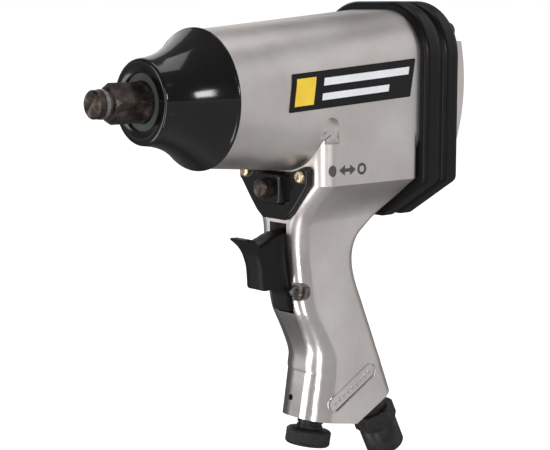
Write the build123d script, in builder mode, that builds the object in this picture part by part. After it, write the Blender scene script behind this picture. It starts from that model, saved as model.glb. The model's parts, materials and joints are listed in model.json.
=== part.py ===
"""Pneumatic impact wrench with a half inch square drive, as an assembly of separate pieces.

Frame: millimetres. The origin is the centre of the square drive's front end, on the drive axis.
+X runs back along the drive axis, +Z is up, and the side with the name plate is -Y.
"""

import os
from math import cos, radians, sin

from build123d import *

# ---------------------------------------------------------------- driving dimensions
DRIVE_SQUARE = 12.7          # half inch square drive, across its flats
SQUARE_FRONT = 7.6           # where the square begins, behind the round pilot tip
SQUARE_BACK = 24.0
SHAFT_R = 8.7                # round part of the anvil, in the bush
NOSE_FRONT = 24.6            # front face of the hammer case
BARREL_FRONT = 55.0          # joint between the hammer case and the motor housing
BARREL_BACK = 161.4          # front edge of the rubber bumper
REBATE_BACK = 168.0          # the casting's rebated end, inside the bumper
COVER_FRONT = 168.8          # the rear cover starts behind its gasket
COVER_BACK = 186.5
BUMPER_BACK = 185.0
BARREL_FRONT_R = 30.1        # round front of the barrel
BACK_HALF_WIDTH = 32.8       # squarish back of the barrel
BACK_TOP = 38.5
BACK_CORNER_R = 22.0
CHEEK_BOTTOM = -39.5         # crease where the flat cheeks end
FLANK_BOTTOM = -56.4         # lowest line of the casting at its back
FLANK_FOOT = 6.4             # half width of that line
REBATE = 2.0                 # how far the bumper is let in
BORE_R = 27.05               # motor bore of the housing
FRONT_FACE = 102.6           # front face of the cheeks and handle top
FIT = 0.06                   # radial clearance of a running fit
GAP = 0.3                    # free clearance between moving pieces

CAGE_FRONT, CAGE_BACK = 58.0, 86.0
CAGE_R = 25.8
CAGE_PLATE = 4.0
PIN_Z = 16.5                 # hammer pins above and below the drive axis
PIN_R = 2.8
DOG_SWING = 10.0             # degrees that the hammer dog rocks on its pin
BEARING_WIDTH = 8.0
BEARING_OUT_R, BEARING_IN_R = 14.0, 6.0
BALL_R, BALL_PITCH_R, BALL_COUNT = 2.3, 10.0, 9
PLATE_FRONT = 88.0           # front end plate, cylinder and rear end plate in a row
CYLINDER_FRONT, CYLINDER_BACK = 97.0, 147.0
PLATE_BACK = 156.0
ROTOR_R = 19.2
CYLINDER_BORE_R = 21.4
ECCENTRIC = 2.0              # the cylinder's bore lies this far above the rotor axis
VANE_COUNT = 6

SLOT_HALF = 5.7              # trigger slot in the handle
TRIGGER_HALF = 5.4
TRIGGER_PIN = (106.0, -90.0)
TRIGGER_ARC_R = 28.3
VALVE_Z = -41.9              # reverse valve axis
PLUNGER_R = 4.5
PLUNGER_FRONT = 90.4
THROTTLE_Z = -73.0           # throttle valve axis

REG_TILT = 11.0              # regulator axis, forward from straight down
REG_BASE = (123.6, -154.5)
INLET_TILT = 26.5            # inlet axis, rearward from straight down
INLET_BASE = (159.7, -147.4)
INLET_THREAD_R = 5.7         # minor radius of the female quarter inch pipe thread

VALVE_SCREW_Y, VALVE_SCREW_Z = 18.7, -35.6

# bores and seats of the housing
BUSH_R = 7.0                 # reverse valve bush
VALVE_BORE_BACK = 146.0
VALVE_BUSH_BACK = 144.0
SLOT_TOP, SLOT_BOTTOM = -58.4, -101.2
SLOT_BACK = 119.0
CHAMBER_BACK = 137.2
PIN_SEAT = 7.2               # the trigger pin's head sits this far left of the middle
PIN_END = 11.0
PIN_RECESS_R = 4.4
TRIGGER_PIN_R, PIN_HEAD, PIN_HEAD_R = 1.7, 1.5, 2.8
REG_DEPTH = 20.0
REG_STEM_R = 5.2
ROLL_PIN_R, ROLL_PIN_Y, ROLL_PIN_Z = 1.5, 3.9, -143.8
ROLL_PIN_START, ROLL_PIN_END = 116.4, 133.0
INLET_DEPTH = 15.0
INLET_NECK_R = 7.8
ARCH_X, ARCH_TOP, ARCH_BOTTOM, ARCH_HALF = 106.4, -8.6, -20.6, 4.7
ARCH_FLOOR = 29.0            # how far left of the middle the arched recess is cut
PLUG_PLACE, PLUG_R, PLUG_END = (105.8, -17.4), 2.2, 23.5
BADGE_LENGTH, BADGE_WIDTH = 33.0, 7.0
SCREW_R, CLEAR_R, SCREW_HEAD_R = 2.2, 2.6, 4.1
SCREW_END = 148.0
VALVE_SCREWS = [(VALVE_SCREW_Y, VALVE_SCREW_Z), (-VALVE_SCREW_Y, VALVE_SCREW_Z)]

# nose, anvil and hammer
BUSH_OUT_R = 12.3
CASE_SPIGOT_R = 27.0
PILOT_R = 6.1
DRIVE_TURN = 40.0            # how the square stands at rest, about the drive axis
ANVIL_BACK = 81.0
THRUST_R = 13.0
JAW_R, JAW_HALF = 11.3, 4.0
RING_FRONT, RING_BACK, GROOVE_R = 3.8, 5.8, 4.4
CAGE_INNER_R = 24.2
SPLINE_R = 5.0
HAMMER_PINS = [(0, PIN_Z), (0, -PIN_Z)]
DOG_FRONT, DOG_BACK, DOG_R, DOG_STEPS = 62.5, 81.5, 21.0, 4

# air motor
LINER_R = 27.0
DOWEL, DOWEL_R = (0.0, 25.2), 1.2
ROTOR_FRONT, ROTOR_BACK = CYLINDER_FRONT + 0.3, CYLINDER_BACK - 0.3
VANE_TURN, VANE_SLOT, VANE_DEPTH = 30.0, 2.4, 11.0

# rear end
CROWN_HALF, CROWN_TOP, CROWN_BOTTOM, CROWN_R = 29.8, 23.6, -31.0, 80.0
CROWN_TOP_X, CROWN_BOTTOM_X = 193.6, 188.3
BUMPER_RIBS = [(BARREL_BACK, 172.6), (174.0, BUMPER_BACK)]
RIB_HEIGHT, RIB_EDGE_R = 3.9, 3.0

# reverse valve
COVER_THICKNESS = 2.6
COVER_FACE = FRONT_FACE - 0.5 - COVER_THICKNESS
PLUNGER_BACK = 134.0
RING_GROOVES = (105.6, 131.0)
RING_FLOOR_R, RING_MID_R = 3.1, 3.8

# trigger and throttle valve
TRIGGER_TIP = (78.2, -63.7)
TRIGGER_SHOULDER = (83.0, -63.9)
TRIGGER_NECK = (86.0, -68.2)
TRIGGER_ARC_START = (91.5, -65.8)
TRIGGER_ARC_END = (112.0, -62.4)
PAD_HALF, PAD_BACK = 6.0, 93.0
BUSH_BACK = 126.0
STEM_FRONT, STEM_R = 112.5, 2.0

# regulator and air inlet
KNOB_START, KNOB_END, KNOB_R = 5.2, 13.2, 10.8
REG_GROOVE = (-13.8, -8.0)
HEX_START, HEX_END, INLET_END = 10.5, 19.8, 34.0
HEX_CORNER_R, INLET_OUT_R = 11.0, 9.7
THREAD_START = 18.6
SCREEN_START, SCREEN_R = 17.8, 5.0

# name plate on the left side
PLATE_SKIN = 0.3
PLATE_CORNERS = [(83.8, 11.0), (158.0, 16.3), (154.9, -1.2), (81.5, -5.6)]

SCREW_PLACES = [(22.0, 28.2), (-22.0, 28.2), (23.5, -33.5), (-23.5, -33.5)]

# Handle stations: height, front x, back x, half widths front and back, corner radii front and back
CHEEKS = (CHEEK_BOTTOM, FRONT_FACE, BARREL_BACK, 31.2, 32.7, 7.0, 3.0)
THROAT = [
    CHEEKS,
    (-45.6, FRONT_FACE, BARREL_BACK, 24.6, 24.4, 6.6, 3.0),
    (-51.4, FRONT_FACE, 161.2, 19.2, 17.2, 6.6, 4.2),
    (-57.0, FRONT_FACE, 157.0, 15.8, 13.6, 7.0, 6.4),
    (-60.3, FRONT_FACE, 153.0, 15.0, 13.3, 7.2, 7.6),
    (-63.5, FRONT_FACE, 149.4, 14.7, 13.4, 7.3, 8.6),
]
GRIP = [
    THROAT[-1],
    (-66.7, 102.7, 145.8, 14.5, 13.7, 7.4, 9.3),
    (-71.5, 102.9, 142.8, 14.4, 14.1, 7.4, 9.5),
    (-78.0, 103.6, 141.6, 14.4, 14.3, 7.6, 9.5),
    (-87.0, 104.8, 143.2, 14.3, 14.5, 7.8, 9.5),
    (-96.0, 106.1, 146.7, 14.3, 14.7, 8.0, 9.5),
    (-102.0, 108.0, 149.2, 14.5, 14.8, 8.4, 9.5),
    (-108.0, 111.1, 151.6, 14.8, 14.9, 9.0, 9.5),
    (-114.0, 113.8, 154.1, 15.1, 15.0, 9.8, 9.5),
    (-120.0, 116.0, 156.5, 15.3, 15.1, 10.8, 9.5),
    (-125.0, 116.7, 158.5, 15.4, 15.2, 11.3, 9.5),
    (-131.0, 116.3, 160.9, 15.5, 15.3, 11.6, 9.5),
]
FOOT = [
    GRIP[-1],
    (-172.0, 109.5, 177.6, 15.7, 15.6, 12.6, 9.5),
]

os.makedirs("parts", exist_ok=True)


# ---------------------------------------------------------------- helpers
def tilted_plane(base, tilt):
    """A plane through base in the XZ plane, whose normal points down, turned by tilt about Y."""
    normal = (sin(radians(tilt)), 0, -cos(radians(tilt)))
    return Plane(origin=(base[0], 0, base[1]), x_dir=(0, 1, 0), z_dir=normal)


REG_PLANE = tilted_plane(REG_BASE, -REG_TILT)
INLET_PLANE = tilted_plane(INLET_BASE, INLET_TILT)
BADGE_PLANE = Plane(origin=(136.4, -14.7, -139.2), x_dir=(0.88, 0, 0.475), z_dir=(0, -1, 0))
AIR_WAY = Plane(origin=(152.5, 0, -133.0), z_dir=(-20.5, 0, 58.0))
AIR_WAY_LENGTH = 61.5


def tube(plane, start, end, outer, inner=0.0, places=((0, 0),), mode=Mode.ADD):
    """A round bar or tube along the plane's normal, between two distances from the plane."""
    with BuildSketch(plane.offset(start)) as ring:
        with Locations(*places):
            Circle(outer)
            if inner:
                Circle(inner, mode=Mode.SUBTRACT)
    extrude(ring.sketch, amount=end - start, mode=mode)


def along_x(start, end, outer, inner=0.0, places=((0, 0),), mode=Mode.ADD):
    """The same along X, with places given as (y, z)."""
    tube(Plane.YZ, start, end, outer, inner, places, mode)


def plan_section(height, front, back, front_half, back_half, front_r, back_r):
    """A level slice through the handle: a tapered box with rounded corners."""
    with BuildSketch(Plane.XY.offset(height)) as section:
        with BuildLine():
            Polyline(
                (front, -front_half),
                (back, -back_half),
                (back, back_half),
                (front, front_half),
                close=True,
            )
        make_face()
        fillet(section.vertices().group_by(Axis.X)[0], front_r)
        fillet(section.vertices().group_by(Axis.X)[-1], back_r)
    return section.sketch


def back_outline(x, margin):
    """The casting's outline at its back, grown by margin, on the plane at x."""
    with BuildSketch(Plane.YZ.offset(x)) as outline:
        with BuildLine():
            Polyline(
                (BACK_HALF_WIDTH, BACK_TOP),
                (BACK_HALF_WIDTH, CHEEK_BOTTOM),
                (FLANK_FOOT, FLANK_BOTTOM),
                (-FLANK_FOOT, FLANK_BOTTOM),
                (-BACK_HALF_WIDTH, CHEEK_BOTTOM),
                (-BACK_HALF_WIDTH, BACK_TOP),
                close=True,
            )
        make_face()
        fillet(outline.vertices().group_by(Axis.Y)[-1], BACK_CORNER_R)
        offset(amount=margin, kind=Kind.ARC, mode=Mode.REPLACE)
    return outline.sketch


def cover_face(x, margin):
    """The valve cover's outline at x, which clears the barrel above it, grown by margin."""
    with BuildSketch(Plane.YZ.offset(x)) as face:
        with BuildLine():
            ThreePointArc((-19, -31.5), (0, -35.5), (19, -31.5))
            Polyline(
                (19, -31.5),
                (20.6, -30.9),
                (22.8, -32.4),
                (22.8, -39.4),
                (16.2, -47.9),
                (11.7, -53.2),
                (7.6, -56.4),
                (-7.6, -56.4),
                (-11.7, -53.2),
                (-16.2, -47.9),
                (-22.8, -39.4),
                (-22.8, -32.4),
                (-20.6, -30.9),
                (-19, -31.5),
            )
        make_face()
        if margin:
            offset(amount=margin, kind=Kind.ARC, mode=Mode.REPLACE)
    return face.sketch


def barrel_section(x, grow=0.0):
    """The barrel at x: round at the front, squarish at the back."""
    share = (x - BARREL_FRONT) / (BARREL_BACK - BARREL_FRONT)
    half_width = BARREL_FRONT_R + share * (BACK_HALF_WIDTH - BARREL_FRONT_R) + grow
    half_height = BARREL_FRONT_R + share * (BACK_TOP - BARREL_FRONT_R) + grow
    corner = BARREL_FRONT_R - 0.1 + share * (BACK_CORNER_R - BARREL_FRONT_R + 0.1) + grow
    with BuildSketch(Plane.YZ.offset(x)) as section:
        RectangleRounded(2 * half_width, 2 * half_height, corner)
    return section.sketch


# ---------------------------------------------------------------- motor housing
with BuildPart() as throat:
    loft([plan_section(*station) for station in THROAT])
    split(bisect_by=Plane.YZ.offset(BARREL_BACK), keep=Keep.BOTTOM)
    split(bisect_by=Plane.YZ.offset(FRONT_FACE), keep=Keep.TOP)

with BuildPart() as barrel:
    loft([barrel_section(BARREL_FRONT), barrel_section(BARREL_BACK)], ruled=True)

with BuildPart() as motor_housing:
    add(barrel.part)
    extrude(plan_section(*CHEEKS), amount=-CHEEK_BOTTOM)
    add(throat.part)
    loft([plan_section(*station) for station in GRIP])
    loft([plan_section(*station) for station in FOOT])
    extrude(back_outline(BARREL_BACK, -REBATE), amount=REBATE_BACK - BARREL_BACK)
    split(bisect_by=REG_PLANE, keep=Keep.BOTTOM)
    split(bisect_by=INLET_PLANE, keep=Keep.BOTTOM)
    # motor bore, valve bore and throttle chamber
    along_x(BARREL_FRONT, REBATE_BACK, BORE_R, mode=Mode.SUBTRACT)
    along_x(FRONT_FACE - 1, VALVE_BORE_BACK, BUSH_R, places=[(0, VALVE_Z)], mode=Mode.SUBTRACT)
    along_x(SLOT_BACK, CHAMBER_BACK, BUSH_R - 1.5, places=[(0, THROTTLE_Z)], mode=Mode.SUBTRACT)
    # trigger slot, open to the front
    with BuildSketch(Plane.XZ) as slot:
        with BuildLine():
            Polyline(
                (FRONT_FACE - 6, SLOT_TOP),
                (SLOT_BACK, SLOT_TOP),
                (SLOT_BACK, -84.0),
                (SLOT_BACK - 6, SLOT_BOTTOM),
                (FRONT_FACE - 6, SLOT_BOTTOM),
                close=True,
            )
        make_face()
    extrude(slot.sketch, amount=SLOT_HALF, both=True, mode=Mode.SUBTRACT)
    # trigger pin: a through hole with a D shaped counterbore open to the front
    pin_x, pin_z = TRIGGER_PIN
    tube(Plane.XZ, -PIN_END, 20, TRIGGER_PIN_R, places=[TRIGGER_PIN], mode=Mode.SUBTRACT)
    with BuildSketch(Plane.XZ.offset(PIN_SEAT)) as pin_recess:
        with Locations(TRIGGER_PIN):
            Circle(PIN_RECESS_R)
        with Locations((pin_x - 5, pin_z)):
            Rectangle(10, 2 * PIN_RECESS_R)
    extrude(pin_recess.sketch, amount=10, mode=Mode.SUBTRACT)
    # regulator bore, its roll pin hole, and the inlet bore with the air way above it
    tube(REG_PLANE, -REG_DEPTH, 1, REG_STEM_R + FIT, mode=Mode.SUBTRACT)
    along_x(100, ROLL_PIN_END, ROLL_PIN_R, places=[(ROLL_PIN_Y, ROLL_PIN_Z)], mode=Mode.SUBTRACT)
    tube(INLET_PLANE, -INLET_DEPTH, 1, INLET_NECK_R, mode=Mode.SUBTRACT)
    tube(AIR_WAY, 0, AIR_WAY_LENGTH, 3.6, mode=Mode.SUBTRACT)
    # arched recess on the left cheek with the side plug's hole
    with BuildSketch(Plane.XZ.offset(ARCH_FLOOR)) as arch:
        with Locations((ARCH_X, ARCH_TOP - ARCH_HALF)):
            Circle(ARCH_HALF)
        with Locations((ARCH_X, (ARCH_TOP - ARCH_HALF + ARCH_BOTTOM) / 2)):
            Rectangle(2 * ARCH_HALF, ARCH_TOP - ARCH_HALF - ARCH_BOTTOM)
    extrude(arch.sketch, amount=12, mode=Mode.SUBTRACT)
    tube(Plane.XZ, PLUG_END, 40, PLUG_R, places=[PLUG_PLACE], mode=Mode.SUBTRACT)
    # stadium shaped recess low on the grip
    with BuildSketch(BADGE_PLANE) as badge_recess:
        SlotOverall(BADGE_LENGTH, BADGE_WIDTH)
    extrude(badge_recess.sketch, amount=6, mode=Mode.SUBTRACT)
    # tapped holes for the valve cover and the rear cover
    along_x(FRONT_FACE - 1, 112, 1.6, places=VALVE_SCREWS, mode=Mode.SUBTRACT)
    along_x(SCREW_END, REBATE_BACK, SCREW_R, places=SCREW_PLACES, mode=Mode.SUBTRACT)

# ---------------------------------------------------------------- hammer case and nose
with BuildPart() as hammer_case:
    with BuildSketch(Plane.XZ) as nose_profile:
        with BuildLine():
            Line((NOSE_FRONT, BUSH_OUT_R), (NOSE_FRONT, 17.2))
            RadiusArc((NOSE_FRONT, 17.2), (NOSE_FRONT + 1.4, 18.6), 1.4)
            Spline(
                (NOSE_FRONT + 1.4, 18.6),
                (31.0, 19.3),
                (36.0, 20.6),
                (41.0, 22.6),
                (46.0, 25.4),
                (50.0, 28.1),
                (53.4, 30.7),
                tangents=[(1, 0.1), (1, 0.72)],
            )
            Polyline(
                (53.4, 30.7),
                (54.0, 31.2),
                (BARREL_FRONT - 0.6, 31.2),
                (BARREL_FRONT - 0.6, CASE_SPIGOT_R),
                (57.4, CASE_SPIGOT_R),
                (57.4, 24.6),
                (50.0, 20.0),
                (50.0, BUSH_OUT_R),
                (NOSE_FRONT, BUSH_OUT_R),
            )
        make_face()
    revolve(axis=Axis.X)

with BuildPart() as front_gasket:
    along_x(BARREL_FRONT - 0.6, BARREL_FRONT, 30.0, CASE_SPIGOT_R)

with BuildPart() as anvil_bushing:
    along_x(NOSE_FRONT + 3.0, 50.0, BUSH_OUT_R, SHAFT_R + FIT)
    chamfer(anvil_bushing.edges().filter_by(GeomType.CIRCLE).group_by(Axis.X)[0], 0.4)

with BuildPart() as nose_seal:
    along_x(NOSE_FRONT + 1.2, NOSE_FRONT + 3.0, BUSH_OUT_R, SHAFT_R + 0.5)

# ---------------------------------------------------------------- anvil with its square drive
with BuildPart() as drive_square:
    with BuildSketch(Plane.YZ.offset(SQUARE_FRONT)) as square:
        Rectangle(DRIVE_SQUARE, DRIVE_SQUARE, rotation=DRIVE_TURN)
        chamfer(square.vertices(), 0.35)
    extrude(square.sketch, amount=SQUARE_BACK - SQUARE_FRONT)
    # the corners are turned off to a cone at the front
    with BuildSketch(Plane.XZ) as turned:
        with BuildLine():
            Polyline(
                (SQUARE_FRONT, 0),
                (SQUARE_FRONT, 7.1),
                (SQUARE_FRONT + 2.6, 9.6),
                (SQUARE_BACK, 9.6),
                (SQUARE_BACK, 0),
                close=True,
            )
        make_face()
    revolve(axis=Axis.X, mode=Mode.INTERSECT)

with BuildPart() as anvil:
    along_x(0, SQUARE_FRONT + 1, PILOT_R)
    chamfer(anvil.faces().sort_by(Axis.X)[0].edges(), 0.8)
    add(drive_square.part)
    along_x(SQUARE_BACK, ANVIL_BACK, SHAFT_R)
    along_x(50.4, 55.4, THRUST_R)
    with BuildSketch(Plane.YZ.offset(66.0)) as jaw:
        with Locations((0, -JAW_R / 2)):
            Rectangle(2 * JAW_HALF, JAW_R)
        Circle(JAW_R, mode=Mode.INTERSECT)
    extrude(jaw.sketch, amount=13.0)
    along_x(RING_FRONT, RING_BACK, PILOT_R + 1, GROOVE_R, mode=Mode.SUBTRACT)

with BuildPart() as anvil_o_ring:
    with BuildSketch(Plane.XZ) as o_ring_section:
        with Locations(((RING_FRONT + RING_BACK) / 2, GROOVE_R + 0.45)):
            Circle(0.4)
    revolve(axis=Axis.X)

with BuildPart() as friction_ring:
    along_x(RING_FRONT + 0.1, RING_BACK - 0.1, PILOT_R + 0.25, GROOVE_R + 0.95)
    with BuildSketch(Plane.YZ.offset(RING_FRONT)) as ring_split:
        with Locations((0, PILOT_R)):
            Rectangle(1.2, 4)
    extrude(ring_split.sketch, amount=3, mode=Mode.SUBTRACT)

# ---------------------------------------------------------------- hammer: cage, dog and pins
with BuildPart() as hammer_cage:
    along_x(CAGE_FRONT, CAGE_BACK, CAGE_R)
    along_x(CAGE_FRONT + CAGE_PLATE, CAGE_BACK - CAGE_PLATE, CAGE_INNER_R, mode=Mode.SUBTRACT)
    along_x(CAGE_FRONT - 1, CAGE_FRONT + CAGE_PLATE + 1, SHAFT_R + 0.6, mode=Mode.SUBTRACT)
    along_x(CAGE_BACK - CAGE_PLATE - 1, CAGE_BACK + 1, SPLINE_R, mode=Mode.SUBTRACT)
    along_x(CAGE_FRONT - 1, CAGE_BACK + 1, PIN_R, places=HAMMER_PINS, mode=Mode.SUBTRACT)
    with BuildSketch(Plane.YZ.offset(CAGE_FRONT + CAGE_PLATE)) as windows:
        with Locations((CAGE_R, 0), (-CAGE_R, 0)):
            Rectangle(22, 20)
    extrude(windows.sketch, amount=CAGE_BACK - CAGE_FRONT - 2 * CAGE_PLATE, mode=Mode.SUBTRACT)

with BuildPart() as hammer_pins:
    along_x(CAGE_FRONT, CAGE_BACK, PIN_R, places=HAMMER_PINS)

with BuildPart() as hammer_dog:
    along_x(DOG_FRONT, DOG_BACK, DOG_R)
    along_x(DOG_FRONT - 1, DOG_BACK + 1, PIN_R + FIT, places=[(0, PIN_Z)], mode=Mode.SUBTRACT)
    # the drive shaft and the lower pin, as the dog meets them through its whole swing
    for step in range(DOG_STEPS + 1):
        swing = radians(DOG_SWING * step / DOG_STEPS)
        shaft_at = (-PIN_Z * sin(swing), PIN_Z - PIN_Z * cos(swing))
        pin_at = (-2 * PIN_Z * sin(swing), PIN_Z - 2 * PIN_Z * cos(swing))
        below_at = (1.2 * pin_at[0], 1.2 * pin_at[1])
        along_x(DOG_FRONT - 1, DOG_BACK + 1, JAW_R + 0.6, places=[shaft_at], mode=Mode.SUBTRACT)
        notch = [pin_at, below_at]
        along_x(DOG_FRONT - 1, DOG_BACK + 1, PIN_R + GAP, places=notch, mode=Mode.SUBTRACT)
    # the striking jaw, which stands beside the anvil's own jaw
    with BuildSketch(Plane.YZ.offset(DOG_FRONT)) as striker:
        with BuildLine():
            Polyline(
                (JAW_HALF + GAP, -8.8),
                (JAW_HALF + GAP, -11.9),
                (8.6, -10.6),
                (7.6, -6.4),
                close=True,
            )
        make_face()
        Circle(SHAFT_R + 0.5, mode=Mode.SUBTRACT)
    extrude(striker.sketch, amount=DOG_BACK - DOG_FRONT)

# ---------------------------------------------------------------- air motor
with BuildPart() as front_end_plate:
    along_x(PLATE_FRONT, CYLINDER_FRONT, LINER_R, SHAFT_R)
    along_x(PLATE_FRONT, PLATE_FRONT + BEARING_WIDTH, BEARING_OUT_R, mode=Mode.SUBTRACT)
    along_x(CYLINDER_FRONT - 4, CYLINDER_FRONT, DOWEL_R, places=[DOWEL], mode=Mode.SUBTRACT)

with BuildPart() as rear_end_plate:
    along_x(CYLINDER_BACK, PLATE_BACK, LINER_R, SHAFT_R)
    along_x(PLATE_BACK - BEARING_WIDTH, PLATE_BACK, BEARING_OUT_R, mode=Mode.SUBTRACT)
    along_x(CYLINDER_BACK, CYLINDER_BACK + 4, DOWEL_R, places=[DOWEL], mode=Mode.SUBTRACT)

with BuildPart() as cylinder:
    along_x(CYLINDER_FRONT, CYLINDER_BACK, LINER_R)
    bore_place = [(0, ECCENTRIC)]
    along_x(CYLINDER_FRONT, CYLINDER_BACK, CYLINDER_BORE_R, places=bore_place, mode=Mode.SUBTRACT)
    along_x(CYLINDER_FRONT, CYLINDER_BACK, DOWEL_R, places=[DOWEL], mode=Mode.SUBTRACT)
    with Locations([(x, 0, -LINER_R) for x in (106, 113, 120, 127, 134)]):
        Cylinder(1.6, 14, mode=Mode.SUBTRACT)

with BuildPart() as cylinder_dowel:
    along_x(CYLINDER_FRONT - 4, CYLINDER_BACK + 4, DOWEL_R, places=[DOWEL])

with BuildPart() as rotor:
    along_x(CAGE_BACK - CAGE_PLATE, CAGE_BACK, SPLINE_R)
    along_x(CAGE_BACK, PLATE_BACK, BEARING_IN_R)
    along_x(ROTOR_FRONT, ROTOR_BACK, ROTOR_R)
    with BuildSketch(Plane.YZ.offset(ROTOR_FRONT)) as vane_slots:
        with PolarLocations(ROTOR_R, VANE_COUNT, start_angle=VANE_TURN):
            Rectangle(2 * VANE_DEPTH, VANE_SLOT)
    extrude(vane_slots.sketch, amount=ROTOR_BACK - ROTOR_FRONT, mode=Mode.SUBTRACT)

with BuildPart() as rotor_vanes:
    with BuildSketch(Plane.YZ.offset(ROTOR_FRONT + 0.1)) as vane_section:
        with PolarLocations(ROTOR_R - VANE_DEPTH / 2 - 0.2, VANE_COUNT, start_angle=VANE_TURN):
            Rectangle(VANE_DEPTH - 0.6, VANE_SLOT - 0.3)
    extrude(vane_section.sketch, amount=ROTOR_BACK - ROTOR_FRONT - 0.2)

bearings = {"front": PLATE_FRONT, "rear": PLATE_BACK - BEARING_WIDTH}
bearing_parts = {}
for end, start in bearings.items():
    middle = start + BEARING_WIDTH / 2
    with BuildPart() as outer_race:
        along_x(start, start + BEARING_WIDTH, BEARING_OUT_R, BALL_PITCH_R + 1.7)
        with BuildSketch(Plane.XZ) as outer_track:
            with Locations((middle, BALL_PITCH_R)):
                Circle(BALL_R + 0.05)
        revolve(axis=Axis.X, mode=Mode.SUBTRACT)
    with BuildPart() as inner_race:
        along_x(start, start + BEARING_WIDTH, BALL_PITCH_R - 1.7, BEARING_IN_R)
        with BuildSketch(Plane.XZ) as inner_track:
            with Locations((middle, BALL_PITCH_R)):
                Circle(BALL_R + 0.05)
        revolve(axis=Axis.X, mode=Mode.SUBTRACT)
    with BuildPart() as balls:
        with Locations(Plane.YZ.offset(middle)):
            with PolarLocations(BALL_PITCH_R, BALL_COUNT):
                Sphere(BALL_R)
    with BuildPart() as ball_cage:
        along_x(middle - 3.0, middle + 3.0, BALL_PITCH_R + 1.1, BALL_PITCH_R - 1.1)
        with Locations(Plane.YZ.offset(middle)):
            with PolarLocations(BALL_PITCH_R, BALL_COUNT):
                Cylinder(BALL_R + 0.05, 6, rotation=(0, 90, 0), mode=Mode.SUBTRACT)
    bearing_parts[f"{end}_bearing_outer_race"] = outer_race
    bearing_parts[f"{end}_bearing_inner_race"] = inner_race
    bearing_parts[f"{end}_bearing_balls"] = balls
    bearing_parts[f"{end}_bearing_cage"] = ball_cage

# ---------------------------------------------------------------- rear end
with BuildPart() as rear_gasket:
    extrude(back_outline(REBATE_BACK, -REBATE - 0.6), amount=COVER_FRONT - REBATE_BACK)
    along_x(REBATE_BACK, COVER_FRONT, BORE_R, mode=Mode.SUBTRACT)
    along_x(REBATE_BACK, COVER_FRONT, CLEAR_R, places=SCREW_PLACES, mode=Mode.SUBTRACT)

with BuildPart() as rear_cover:
    extrude(back_outline(COVER_FRONT, -REBATE), amount=COVER_BACK - COVER_FRONT)
    chamfer(rear_cover.faces().sort_by(Axis.X)[-1].edges(), 0.6)
    with BuildSketch(Plane.XZ) as crown:
        with BuildLine():
            Polyline(
                (CROWN_TOP_X, CROWN_TOP),
                (COVER_BACK - 2, CROWN_TOP),
                (COVER_BACK - 2, CROWN_BOTTOM),
                (CROWN_BOTTOM_X, CROWN_BOTTOM),
            )
            RadiusArc((CROWN_BOTTOM_X, CROWN_BOTTOM), (CROWN_TOP_X, CROWN_TOP), -CROWN_R)
        make_face()
    extrude(crown.sketch, amount=CROWN_HALF, both=True)
    fillet(rear_cover.faces().filter_by(GeomType.CYLINDER).sort_by(Axis.X)[-1].edges(), 1.1)
    along_x(COVER_FRONT, COVER_BACK - 3.0, 23.0, mode=Mode.SUBTRACT)
    along_x(PLATE_BACK, COVER_FRONT, BORE_R - 0.05, 23.0)
    along_x(COVER_FRONT, COVER_BACK, CLEAR_R, places=SCREW_PLACES, mode=Mode.SUBTRACT)
    along_x(COVER_BACK, 200, SCREW_HEAD_R + 0.8, places=SCREW_PLACES, mode=Mode.SUBTRACT)

with BuildPart() as spring_washers:
    along_x(COVER_BACK, COVER_BACK + 1.0, 4.1, CLEAR_R, places=SCREW_PLACES)

with BuildPart() as cover_screws:
    along_x(SCREW_END + 1, COVER_BACK + 1.0, SCREW_R, places=SCREW_PLACES)
    along_x(COVER_BACK + 1.0, COVER_BACK + 6.4, SCREW_HEAD_R, places=SCREW_PLACES)
    chamfer(cover_screws.faces().group_by(Axis.X)[-1].edges(), 0.4)
    with BuildSketch(Plane.YZ.offset(COVER_BACK + 3.4)) as sockets:
        with Locations(*SCREW_PLACES):
            RegularPolygon(2.3, 6)
    extrude(sockets.sketch, amount=3, mode=Mode.SUBTRACT)

ribs = []
for rib_start, rib_end in BUMPER_RIBS:
    with BuildPart() as rib:
        extrude(back_outline(rib_start, RIB_HEIGHT), amount=rib_end - rib_start)
        fillet(rib.faces().group_by(Axis.X)[0].edges(), RIB_EDGE_R)
        fillet(rib.faces().group_by(Axis.X)[-1].edges(), RIB_EDGE_R)
    ribs.append(rib.part)

with BuildPart() as rear_bumper:
    extrude(back_outline(BARREL_BACK, 2.2), amount=BUMPER_BACK - BARREL_BACK)
    add(ribs)
    opening = back_outline(BARREL_BACK, 0.02 - REBATE)
    extrude(opening, amount=BUMPER_BACK - BARREL_BACK, mode=Mode.SUBTRACT)

# ---------------------------------------------------------------- reverse valve
with BuildPart() as valve_gasket:
    extrude(cover_face(FRONT_FACE - 0.5, -0.8), amount=0.5)
    along_x(FRONT_FACE - 1, FRONT_FACE, BUSH_R, places=[(0, VALVE_Z)], mode=Mode.SUBTRACT)
    along_x(FRONT_FACE - 1, FRONT_FACE, 1.7, places=VALVE_SCREWS, mode=Mode.SUBTRACT)

with BuildPart() as valve_cover:
    extrude(cover_face(COVER_FACE, 0.0), amount=COVER_THICKNESS)
    fillet(valve_cover.faces().sort_by(Axis.X)[0].edges(), 0.7)
    with BuildSketch(Plane.YZ.offset(COVER_FACE + 0.5)) as boss:
        with Locations((0, VALVE_Z - 0.1)):
            RectangleRounded(18.5, 15.4, 3.0)
    extrude(boss.sketch, amount=-4.2, taper=14)
    fillet(valve_cover.faces().sort_by(Axis.X)[0].edges(), 0.8)
    along_x(90, FRONT_FACE, PLUNGER_R + GAP, places=[(0, VALVE_Z)], mode=Mode.SUBTRACT)
    along_x(90, FRONT_FACE, 1.7, places=VALVE_SCREWS, mode=Mode.SUBTRACT)

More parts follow.
